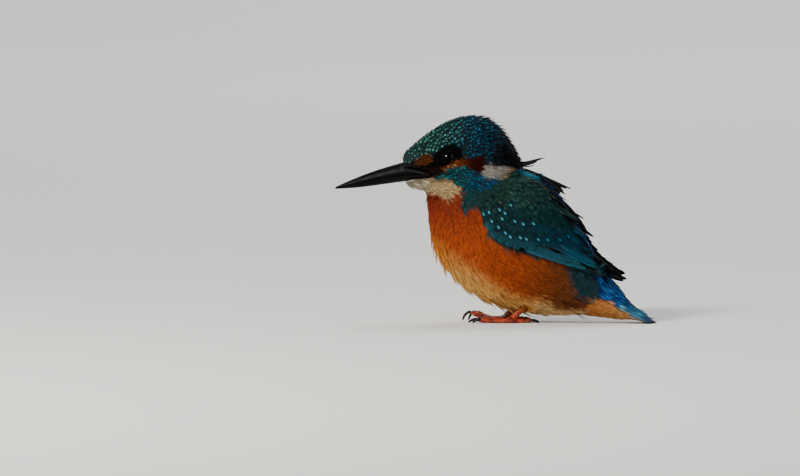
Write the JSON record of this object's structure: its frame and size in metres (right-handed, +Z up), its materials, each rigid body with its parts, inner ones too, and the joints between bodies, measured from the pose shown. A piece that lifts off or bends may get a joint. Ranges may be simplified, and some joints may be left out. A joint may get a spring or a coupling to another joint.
{
  "type": "kingfisher",
  "caption": "Perched kingfisher in life size: dagger bill, blue-green cap and wings, orange breast, short tail resting on the floor.",
  "frame": {"origin": "middle of the bird's box, on the floor that its feet and tail tip rest on", "axes": "+X towards the tail, so the bill points along -X; -Y is the bird's left side; +Z up"},
  "size_m": [0.154, 0.0482, 0.0985],
  "materials": {
    "head_feathers": "satin",
    "breast_feathers": "matte",
    "rump_feathers": "satin",
    "wing_feathers": "satin",
    "wing_quills": "satin",
    "bill_horn": "semi-gloss",
    "eye": "gloss",
    "leg_skin": "satin",
    "claw_horn": "semi-gloss"
  },
  "bodies": {
    "root": {"bill_lower": "bill_horn", "bill_upper": "bill_horn", "claw_left_hind": "claw_horn", "claw_left_inner": "claw_horn", "claw_left_middle": "claw_horn", "claw_left_outer": "claw_horn", "claw_right_hind": "claw_horn", "claw_right_inner": "claw_horn", "claw_right_middle": "claw_horn", "claw_right_outer": "claw_horn", "eye_left": "eye", "eye_right": "eye", "head": "head_feathers", "neck": "breast_feathers", "rump": "rump_feathers", "tail": "rump_feathers", "tarsus_left": "leg_skin", "tarsus_right": "leg_skin", "thigh_left": "breast_feathers", "thigh_right": "breast_feathers", "toe_left_hind": "leg_skin", "toe_left_inner": "leg_skin", "toe_left_middle": "leg_skin", "toe_left_outer": "leg_skin", "toe_right_hind": "leg_skin", "toe_right_inner": "leg_skin", "toe_right_middle": "leg_skin", "toe_right_outer": "leg_skin", "trunk": "breast_feathers", "undertail": "breast_feathers", "wing_left_coverts": "wing_feathers", "wing_left_primaries": "wing_quills", "wing_left_scapulars": "wing_feathers", "wing_left_secondaries": "wing_feathers", "wing_left_tertials": "wing_feathers", "wing_right_coverts": "wing_feathers", "wing_right_primaries": "wing_quills", "wing_right_scapulars": "wing_feathers", "wing_right_secondaries": "wing_feathers", "wing_right_tertials": "wing_feathers"}
  },
  "joints": []
}
